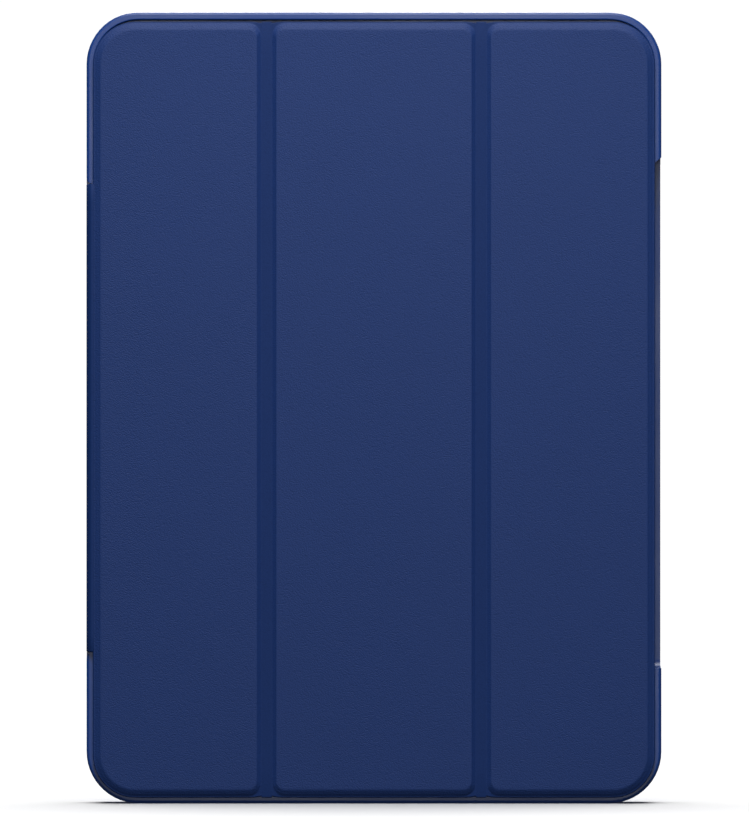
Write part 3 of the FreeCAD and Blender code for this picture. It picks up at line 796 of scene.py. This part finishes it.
def spine_leather():
    front_low, front_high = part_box("front_web")
    back_low, back_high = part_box("back_web")
    flap_low, flap_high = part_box("spine_flap")
    spine_middle = (front_high.y + back_low.y) / 2
    radius = 1.65 * mm
    centre = Vector((front_low.x + radius, front_low.y + radius))
    tuck = [front_high.x + past for past in (-0.3 * mm, 0, 0.4 * mm, 0.8 * mm)]
    lines = wrap_lines(centre, radius, -1, 1.45, spine_middle, tuck)
    low_end = front_low.z - spine_end_overlap
    high_end = front_high.z + spine_end_overlap
    front = strip_between(*lines, low_end, high_end, "spine_front_leather")
    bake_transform(front)
    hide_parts("front_web", "spine_skin")
    flat = [flap_low.x + (flap_high.x - flap_low.x) * i / 6 for i in range(1, 7)]
    radius = back_high.x - back_low.x
    centre = Vector((back_high.x, back_low.y))
    lines = wrap_lines(centre, radius, 1, 2, spine_middle, flat)
    back = strip_between(*lines, low_end, high_end, "spine_back_leather")
    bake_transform(back)
    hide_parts("back_web", "spine_flap", "spine_skin")


spine_leather()

# ======================================================================== the linings
# Brushed microfibre, slate blue, bonded to everything that the tablet or the keyboard
# touches: the three panels, the two folds, the spine and the inside of the back.

slate = (0.022, 0.032, 0.062)


def brushed_nap():
    """Short brushed fibres: height, a mask of the nap's direction and a slow drift."""
    inputs = [("Place", "NodeSocketVector", None), ("Fibres per mm", "NodeSocketFloat", 6.0)]
    outputs = [
        ("Height", "NodeSocketFloat"), ("Nap", "NodeSocketFloat"), ("Drift", "NodeSocketFloat"),
    ]
    group, start, end = make_group("brushed nap", inputs, outputs)
    stretch = group.nodes.new("ShaderNodeMapping")
    stretch.inputs["Scale"].default_value = (1000, 1000, 350)
    group.links.new(start.outputs["Place"], stretch.inputs["Vector"])
    fibres = add_noise(group, stretch.outputs[0], start.outputs["Fibres per mm"], 4, 0.7, 0.6)
    to_mm = group.nodes.new("ShaderNodeVectorMath")
    to_mm.operation = "SCALE"
    to_mm.inputs["Scale"].default_value = 1000
    group.links.new(start.outputs["Place"], to_mm.inputs[0])
    nap = add_noise(group, to_mm.outputs[0], 0.12, 3, 0.6, 1.2)
    slow = add_noise(group, to_mm.outputs[0], 0.02, 2, 0.5)
    group.links.new(fibres.outputs["Fac"], end.inputs["Height"])
    group.links.new(nap.outputs["Fac"], end.inputs["Nap"])
    group.links.new(slow.outputs["Fac"], end.inputs["Drift"])
    return group


nap_group = brushed_nap()


def microfibre(name, colour):
    finish, tree, shader = start_finish(name, colour, 0.95, 0.2)
    shader.inputs["Sheen Weight"].default_value = 0.35
    shader.inputs["Sheen Roughness"].default_value = 0.45
    shader.inputs["Sheen Tint"].default_value = (0.6, 0.7, 1, 1)
    texture = use_group(tree, nap_group, {})
    darker = tuple(0.7 * c for c in colour)
    lighter = tuple(1.35 * c for c in colour)
    brushed = add_blend(tree, texture.outputs["Nap"], darker, lighter)
    flecked = add_blend(tree, texture.outputs["Height"], brushed, tuple(1.6 * c for c in colour))
    tree.links.new(flecked, shader.inputs["Base Color"])
    add_bump(tree, shader, texture.outputs["Height"], 0.05 * mm)
    return finish


lining_cloth = microfibre("slate microfibre", slate)
lining_front = cover_front + 1.87 * mm
lining_back = cover_front + 2.37 * mm
lining_inset = turn_in + 0.08 * mm
crease_inset = 3.0 * mm


def lining_profile(front, back):
    """The lining's edge and its pressed border line as (inset, y) pairs, front to back."""
    soft = 0.15 * mm
    return [
        (0.1 * mm, front), (0, front + soft), (0, back - soft), (0.05 * mm, back - 0.4 * soft),
        (soft, back), (crease_inset - 0.5 * mm, back), (crease_inset - 0.2 * mm, back - 0.06 * mm),
        (crease_inset, back - 0.1 * mm), (crease_inset + 0.2 * mm, back - 0.06 * mm),
        (crease_inset + 0.5 * mm, back),
    ]


def panel_lining(number, left_fold, right_fold):
    low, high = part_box(f"panel_{number}_lining")
    left = low.x + (-past_fold if left_fold else lining_inset)
    right = high.x + (past_fold if right_fold else -lining_inset)
    radius = 10.6 * mm
    bm = bmesh.new()
    rings = []
    for inset, y in lining_profile(lining_front, lining_back):
        limits = (left + inset, right - inset, low.z + lining_inset + inset)
        ring = rounded_ring(*limits, high.z - lining_inset - inset, [radius - inset] * 2, y)
        rings.append(add_ring(bm, ring))
    for first, second in zip(rings, rings[1:]):
        join_rings(bm, first, second)
    cap_ring(bm, rings[0])
    cap_ring(bm, rings[-1])
    if left_fold:
        trim(bm, low.x, True)
    if right_fold:
        trim(bm, high.x, False)
    piece = finish_mesh(bm, f"panel_{number}_microfibre", [lining_cloth])
    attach(piece, f"panel_{number}")
    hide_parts(f"panel_{number}_lining")
    return piece


for number, folds in panel_folds.items():
    panel_lining(number, *folds)


def fold_lining(number):
    low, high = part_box(f"fold_web_{number}")
    low_z = low.z + lining_inset
    high_z = high.z - lining_inset
    pairs = [(low_z + inset, y) for inset, y in lining_profile(lining_front, lining_back)]
    other = [(high_z - inset, y) for inset, y in lining_profile(lining_front, lining_back)]
    outline = pairs + other[::-1]
    bm = bmesh.new()
    sweep_fold(bm, low.x, high.x, outline)
    piece = finish_mesh(bm, f"fold_{number}_microfibre", [lining_cloth])
    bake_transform(piece)
    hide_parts(f"fold_web_{number}")


fold_lining(1)
fold_lining(2)


def spine_lining():
    """The narrow strip on the inside of the spine, with its edges eased all round."""
    low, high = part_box("spine_lining")
    soft = 0.15 * mm
    steps = ((0, soft), (0.3 * soft, 0.3 * soft), (soft, 0))
    levels = [(low.x + step, ease) for step, ease in steps]
    levels += [(high.x - step, ease) for step, ease in steps[::-1]]
    bm = bmesh.new()
    rings = []
    for x, ease in levels:
        near, far = low.y + ease, high.y - ease
        foot, top = low.z + ease, high.z - ease
        corners = ((x, near, foot), (x, far, foot), (x, far, top), (x, near, top))
        rings.append(add_ring(bm, corners))
    for first, second in zip(rings, rings[1:]):
        join_rings(bm, first, second)
    bm.faces.new(rings[0])
    bm.faces.new(rings[-1])
    piece = finish_mesh(bm, "spine_microfibre", [lining_cloth])
    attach(piece, "spine")
    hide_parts("spine_lining")


spine_lining()


def back_lining():
    """The sheet inside the back, with its cut-out round the camera ring."""
    low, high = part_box("back_lining")
    ring_low, ring_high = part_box("camera_ring")
    soft = 0.12 * mm
    outer_radius = 13.8 * mm
    hole_radius = 9.0 * mm
    gap = 0.05 * mm
    bm = bmesh.new()
    outer = []
    inner = []
    for ease, y in ((soft, low.y), (0.3 * soft, low.y + 0.3 * soft), (0, low.y + soft), (0, high.y)):
        limits = (low.x + ease, high.x - ease, low.z + ease, high.z - ease)
        outer.append(add_ring(bm, rounded_ring(*limits, [outer_radius - ease] * 2, y)))
        grow = gap + ease
        limits = (ring_low.x - grow, ring_high.x + grow, ring_low.z - grow, ring_high.z + grow)
        inner.append(add_ring(bm, rounded_ring(*limits, [hole_radius + grow] * 2, y)))
    for rings in (outer, inner):
        for first, second in zip(rings, rings[1:]):
            join_rings(bm, first, second)
    for level in (0, -1):
        edges = []
        for ring in (outer[level], inner[level]):
            for i in range(len(ring)):
                edges.append(bm.edges.get((ring[i - 1], ring[i])))
        bmesh.ops.triangle_fill(bm, use_beauty=True, use_dissolve=False, edges=edges)
    piece = finish_mesh(bm, "back_microfibre", [lining_cloth])
    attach(piece, "shell")
    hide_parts("back_lining")


back_lining()

# ======================================================================== boards and magnets
# Grey fibreboard stiffeners, die cut, lie inside the leather of each panel and of the spine.
# The middle and last panels hold flat nickel-plated magnets that grip the keyboard.


def fibreboard(name, colour):
    finish, tree, shader = start_finish(name, colour, 0.85, 0.3)
    texture = use_group(tree, nap_group, {"Fibres per mm": 2.0})
    mottled = add_blend(
        tree, texture.outputs["Height"], tuple(0.7 * c for c in colour), tuple(1.25 * c for c in colour)
    )
    tree.links.new(mottled, shader.inputs["Base Color"])
    add_bump(tree, shader, texture.outputs["Height"], 0.03 * mm)
    return finish


def plated(name, colour, roughness, scratches):
    """Bare or plated metal with fine lines along its rolling direction."""
    finish, tree, shader = start_finish(name, colour, roughness)
    shader.inputs["Metallic"].default_value = 1
    texture = use_group(tree, nap_group, {"Fibres per mm": scratches})
    darker = tuple(0.8 * c for c in colour)
    lighter = tuple(min(1, 1.1 * c) for c in colour)
    worn = add_blend(tree, texture.outputs["Drift"], darker, lighter)
    tree.links.new(worn, shader.inputs["Base Color"])
    swing = add_math(tree, "MULTIPLY", texture.outputs["Height"], 0.2)
    tree.links.new(add_math(tree, "ADD", swing, roughness - 0.1), shader.inputs["Roughness"])
    add_bump(tree, shader, texture.outputs["Height"], 0.004 * mm)
    return finish


grey_board = fibreboard("grey fibreboard", (0.2, 0.19, 0.17))
nickel = plated("nickel plating", (0.62, 0.6, 0.57), 0.3, 3.0)
for name in ("panel_1_board", "panel_2_board", "panel_3_board", "spine_board"):
    dress(name, grey_board, 0)
for name in ("panel_2_magnets", "panel_3_magnets", "keyboard_magnets"):
    dress(name, nickel, 0.15 * mm)

# ======================================================================== the keyboard's case
# Two mouldings of dark blue-grey ABS: a shallow tray and the top plate with a window for each
# key. They snap together round the support plate, the dome sheet and the electronics.

ink = (0.012, 0.016, 0.03)
case_plastic = moulded("ink blue case plastic", ink, 0.48, 5.0, 0.01 * mm)
dress("keyboard_lower_case", case_plastic, 0.25 * mm, 50)
dress("keyboard_deck", case_plastic, 0.12 * mm, 50)

# ======================================================================== the keys
# Caps of the same ABS, a shade lighter, with softly rounded corners and a shallow dish that a
# fingertip settles in. Each cap clips on to its dome through the window below it.

cap_plastic = moulded("key cap plastic", (0.02, 0.026, 0.045), 0.5, 7.0, 0.006 * mm)
cap_corner = 1.6 * mm
cap_dish = 0.22 * mm
cap_rim = 0.8 * mm  # the flat border round the dish


def islands(mesh):
    """The box of each separate solid in a mesh, as (low, high) corners."""
    links = {v.index: set() for v in mesh.vertices}
    place = {}
    for v in mesh.vertices:
        place.setdefault(tuple(round(c, 7) for c in v.co), []).append(v.index)
    for same in place.values():
        for other in same[1:]:
            links[same[0]].add(other)
            links[other].add(same[0])
    for edge in mesh.edges:
        a, b = edge.vertices
        links[a].add(b)
        links[b].add(a)
    seen = set()
    boxes = []
    for first in links:
        if first in seen:
            continue
        group = []
        waiting = [first]
        seen.add(first)
        while waiting:
            here = waiting.pop()
            group.append(mesh.vertices[here].co)
            for other in links[here] - seen:
                seen.add(other)
                waiting.append(other)
        low = Vector([min(co[k] for co in group) for k in range(3)])
        high = Vector([max(co[k] for co in group) for k in range(3)])
        boxes.append((low, high))
    return boxes


def add_cap(bm, low, high):
    """One dished key cap that fills a box, its top towards +Y."""
    profile = [
        (0.15, low.y), (0, low.y + 0.12 * mm), (0, high.y - 0.55 * mm), (0.1, high.y - 0.25 * mm),
        (0.28, high.y - 0.06 * mm), (0.5, high.y), (cap_rim / mm, high.y),
    ]
    rings = []
    for inset, y in profile:
        step = inset * mm
        limits = (low.x + step, high.x - step, low.z + step, high.z - step)
        rings.append(add_ring(bm, rounded_ring(*limits, [max(0.3 * mm, cap_corner - step)] * 2, y)))
    narrow = min(high.x - low.x, high.z - low.z)
    for share, drop in ((0.35, 0.45), (0.65, 0.8), (0.9, 0.98)):
        step = cap_rim + share * (narrow / 2 - cap_rim)
        limits = (low.x + step, high.x - step, low.z + step, high.z - step)
        radius = max(0.05 * mm, min(cap_corner, 0.49 * (narrow - 2 * step)))
        rings.append(add_ring(bm, rounded_ring(*limits, [radius] * 2, high.y - cap_dish * drop)))
    for first, second in zip(rings, rings[1:]):
        join_rings(bm, first, second)
    bm.faces.new(rings[0])
    bm.faces.new(rings[-1])


corner_steps = 3  # the caps are small, so their rings are coarser than the panels'
across_steps = 1
up_steps = 1
key_rows = (
    "function_row_keys", "number_row_keys", "upper_letter_keys", "home_row_keys",
    "lower_letter_keys", "bottom_row_keys", "space_bar",
)
for row in key_rows:
    bm = bmesh.new()
    for low, high in islands(frame["nodes"][row].data):
        add_cap(bm, low, high)
    caps = finish_mesh(bm, row.replace("_keys", "") + "_caps", [cap_plastic])
    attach(caps, frame["nodes"][row]["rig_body"])
    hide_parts(row)

# ======================================================================== inside the keyboard
# A pressed steel support plate, the silicone dome sheet, a pouch cell, the controller board,
# the charging socket, a light pipe, soft spacers and the slider of the power switch.

rolled_steel = plated("rolled steel", (0.5, 0.5, 0.5), 0.38, 1.5)
socket_steel = plated("socket steel", (0.6, 0.6, 0.61), 0.28, 4.0)
dome_rubber = moulded("dome silicone", (0.35, 0.37, 0.4), 0.55, 4.0, 0.004 * mm)
spacer_rubber = moulded("spacer rubber", (0.015, 0.017, 0.022), 0.7, 6.0, 0.008 * mm)
switch_plastic = moulded("switch plastic", (0.03, 0.035, 0.05), 0.4, 6.0, 0.005 * mm)
pipe_plastic = moulded("light pipe", (0.7, 0.75, 0.78), 0.3, 3.0, 0.002 * mm)
pouch_foil = plated("pouch foil", (0.7, 0.7, 0.72), 0.35, 0.8)


def board_green(name):
    """Solder mask with copper tracks faintly raised under it."""
    finish, tree, shader = start_finish(name, (0.01, 0.06, 0.045), 0.35)
    place = tree.nodes.new("ShaderNodeTexCoord")
    tracks = tree.nodes.new("ShaderNodeTexBrick")
    tracks.inputs["Scale"].default_value = 260
    tracks.inputs["Mortar Size"].default_value = 0.06
    tree.links.new(place.outputs["Object"], tracks.inputs["Vector"])
    shade = add_blend(tree, tracks.outputs["Fac"], (0.008, 0.05, 0.038), (0.02, 0.1, 0.07))
    tree.links.new(shade, shader.inputs["Base Color"])
    add_bump(tree, shader, tracks.outputs["Fac"], 0.03 * mm)
    return finish


dress("support_plate", rolled_steel, 0.08 * mm)
dress("dome_sheet", dome_rubber, 0)
dress("battery", pouch_foil, 0.5 * mm)
dress("circuit_board", board_green("solder mask"), 0.06 * mm)
dress("charging_socket", socket_steel, 0.12 * mm, 50)
dress("status_light", pipe_plastic, 0.1 * mm)
dress("glass_spacers", spacer_rubber, 0.1 * mm)
dress("power_switch", switch_plastic, 0.2 * mm)

# ======================================================================== sizes
# The box of what is shown; the imported model's box was taken just after the import.

low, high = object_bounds()
